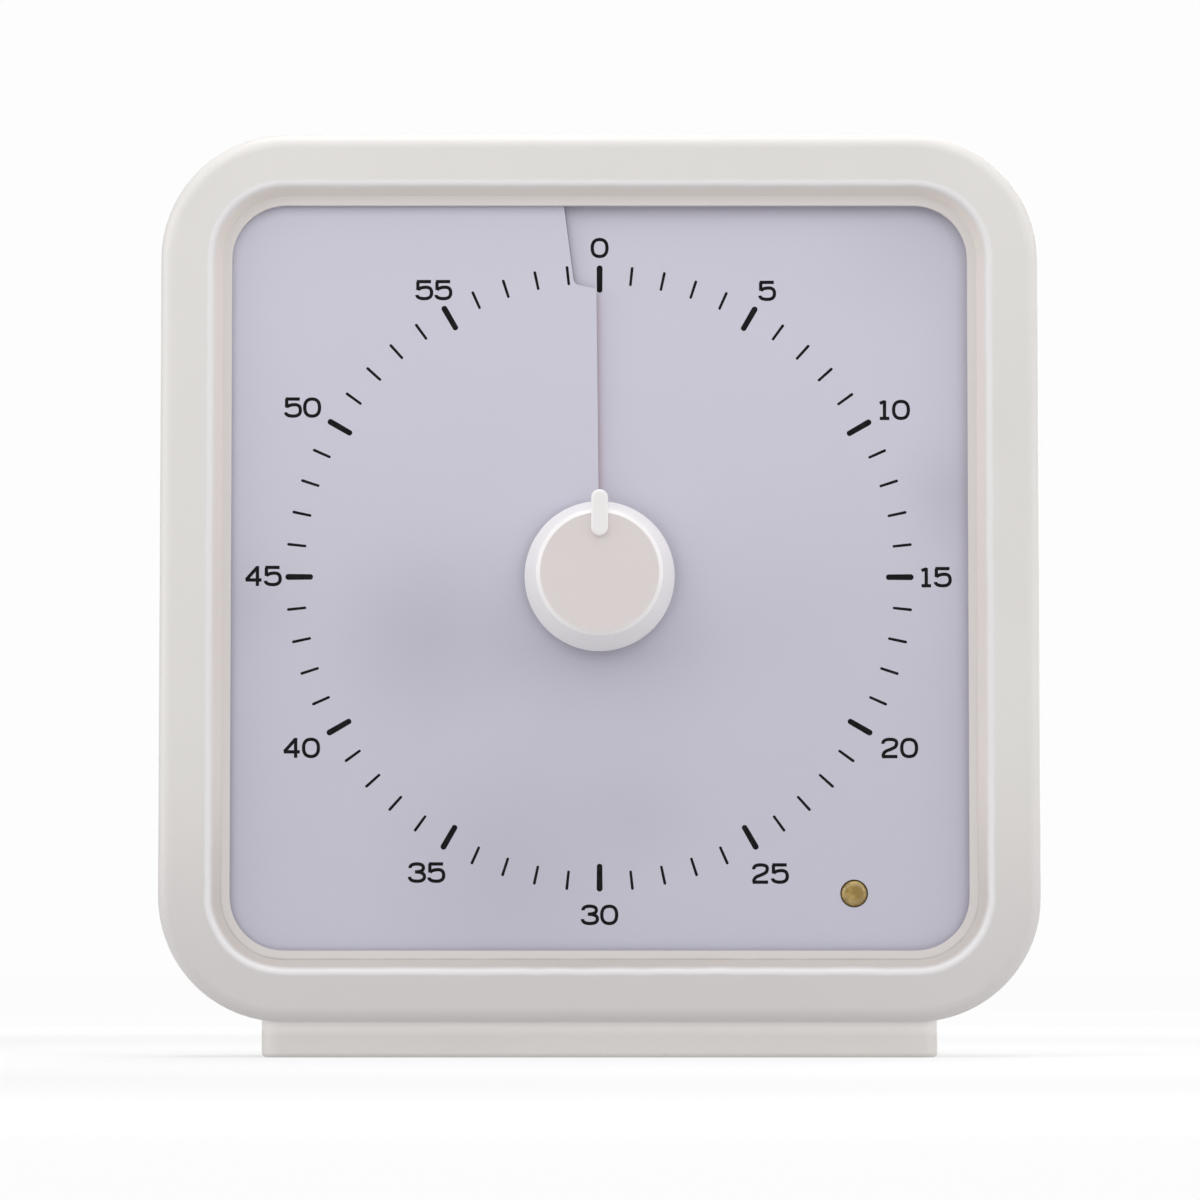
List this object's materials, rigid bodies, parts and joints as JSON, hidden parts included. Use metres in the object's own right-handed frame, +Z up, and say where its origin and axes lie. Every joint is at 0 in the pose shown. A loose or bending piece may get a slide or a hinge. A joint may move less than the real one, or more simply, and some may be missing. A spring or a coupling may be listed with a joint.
{
  "type": "visual countdown timer",
  "caption": "Square desk timer with a round-cornered case on a low foot, a slit dial, a setting knob and a disc that shows the time left.",
  "frame": {"origin": "middle of the foot's flat underside", "axes": "+Z up, the dial looks along -Y, +X to the viewer's right"},
  "size_m": [0.19, 0.0523, 0.1996],
  "materials": {
    "black_plastic": "moulded",
    "board": "lacquered board",
    "brass": "stamped",
    "case_plastic": "satin moulded plastic",
    "cell_skin": "plain sleeve",
    "copper": "enamelled wire",
    "dial_sheet": "printed sheet, faint sheen",
    "disc_sheet": "smooth sheet",
    "ferrite": "sintered",
    "inner_plastic": "moulded",
    "knob_plastic": "satin moulded plastic",
    "lamp": "tinted lens",
    "plated": "nickel plated",
    "steel": "drawn or stamped",
    "wire_cover": "insulated wire"
  },
  "bodies": {
    "case": {"alarm_length_switch": "plated", "base_foot": "case_plastic", "battery_cell": "cell_skin", "battery_leads": "wire_cover", "board_screws": "steel", "buzzer": "black_plastic", "capacitors": "black_plastic", "case_screws": "steel", "circuit_board": "board", "coil_bobbin": "inner_plastic", "coil_core": "steel", "coil_winding": "copper", "contact_blades": "brass", "control_chip": "black_plastic", "dial_card": "dial_sheet", "dial_support": "inner_plastic", "foot_screws": "steel", "front_frame": "case_plastic", "indicator_led": "lamp", "led_legs": "plated", "movement_front": "inner_plastic", "movement_leads": "wire_cover", "movement_rear": "inner_plastic", "movement_screws": "steel", "negative_contact": "plated", "positive_contact": "plated", "quartz_crystal": "plated", "rear_cover": "case_plastic", "stator": "steel", "support_screws": "steel", "switch_board": "board", "switch_board_screws": "steel", "switch_leads": "wire_cover", "volume_switch": "plated"},
    "knob_spindle": {"knob": "knob_plastic", "disc_hub": "inner_plastic", "spindle": "steel", "centre_wheel": "inner_plastic", "clutch_spring": "steel", "alarm_cam": "inner_plastic"},
    "disc": {"time_disc": "disc_sheet"},
    "second_arbor": {"second_wheel": "inner_plastic"},
    "third_arbor": {"third_wheel": "inner_plastic"},
    "fourth_arbor": {"fourth_wheel": "inner_plastic"},
    "rotor": {"rotor_pinion": "inner_plastic", "rotor_magnet": "ferrite"},
    "door": {"battery_door": "case_plastic"},
    "volume_lever": {"volume_slider": "black_plastic"},
    "alarm_lever": {"alarm_length_slider": "black_plastic"}
  },
  "joints": [
    {"name": "knob_turn", "type": "hinge", "parent": "case", "child": "knob_spindle", "pos_m": [0, -0.0144, 0.1036], "axis": [0, 1, 0], "range_deg": [0, 360]},
    {"name": "disc_advance", "type": "slide", "parent": "knob_spindle", "child": "disc", "axis": [0, -1, 0], "range_m": [0, 0.0016]},
    {"name": "second_wheel_turn", "type": "hinge", "parent": "case", "child": "second_arbor", "pos_m": [0, -0.0004, 0.1172], "axis": [0, 1, 0], "continuous": true},
    {"name": "third_wheel_turn", "type": "hinge", "parent": "case", "child": "third_arbor", "pos_m": [-0.01095, -0.0004, 0.12185], "axis": [0, 1, 0], "continuous": true},
    {"name": "fourth_wheel_turn", "type": "hinge", "parent": "case", "child": "fourth_arbor", "pos_m": [-0.01635, -0.0004, 0.1125], "axis": [0, 1, 0], "continuous": true},
    {"name": "rotor_turn", "type": "hinge", "parent": "case", "child": "rotor", "pos_m": [-0.01635, -0.0004, 0.1065], "axis": [0, 1, 0], "continuous": true},
    {"name": "door_pull", "type": "slide", "parent": "case", "child": "door", "axis": [0, 1, 0], "range_m": [0, 0.025]},
    {"name": "volume_slide", "type": "slide", "parent": "case", "child": "volume_lever", "axis": [1, 0, 0], "range_m": [-0.002, 0.002]},
    {"name": "alarm_length_slide", "type": "slide", "parent": "case", "child": "alarm_lever", "axis": [1, 0, 0], "range_m": [-0.002, 0.002]}
  ],
  "couplings": [
    {"joint": "disc_advance", "follows": "knob_turn", "m_per_rad": 0.00025465},
    {"joint": "second_wheel_turn", "follows": "knob_turn", "ratio": -7.5},
    {"joint": "third_wheel_turn", "follows": "knob_turn", "ratio": 56.25},
    {"joint": "fourth_wheel_turn", "follows": "knob_turn", "ratio": -450},
    {"joint": "rotor_turn", "follows": "knob_turn", "ratio": 1800}
  ]
}
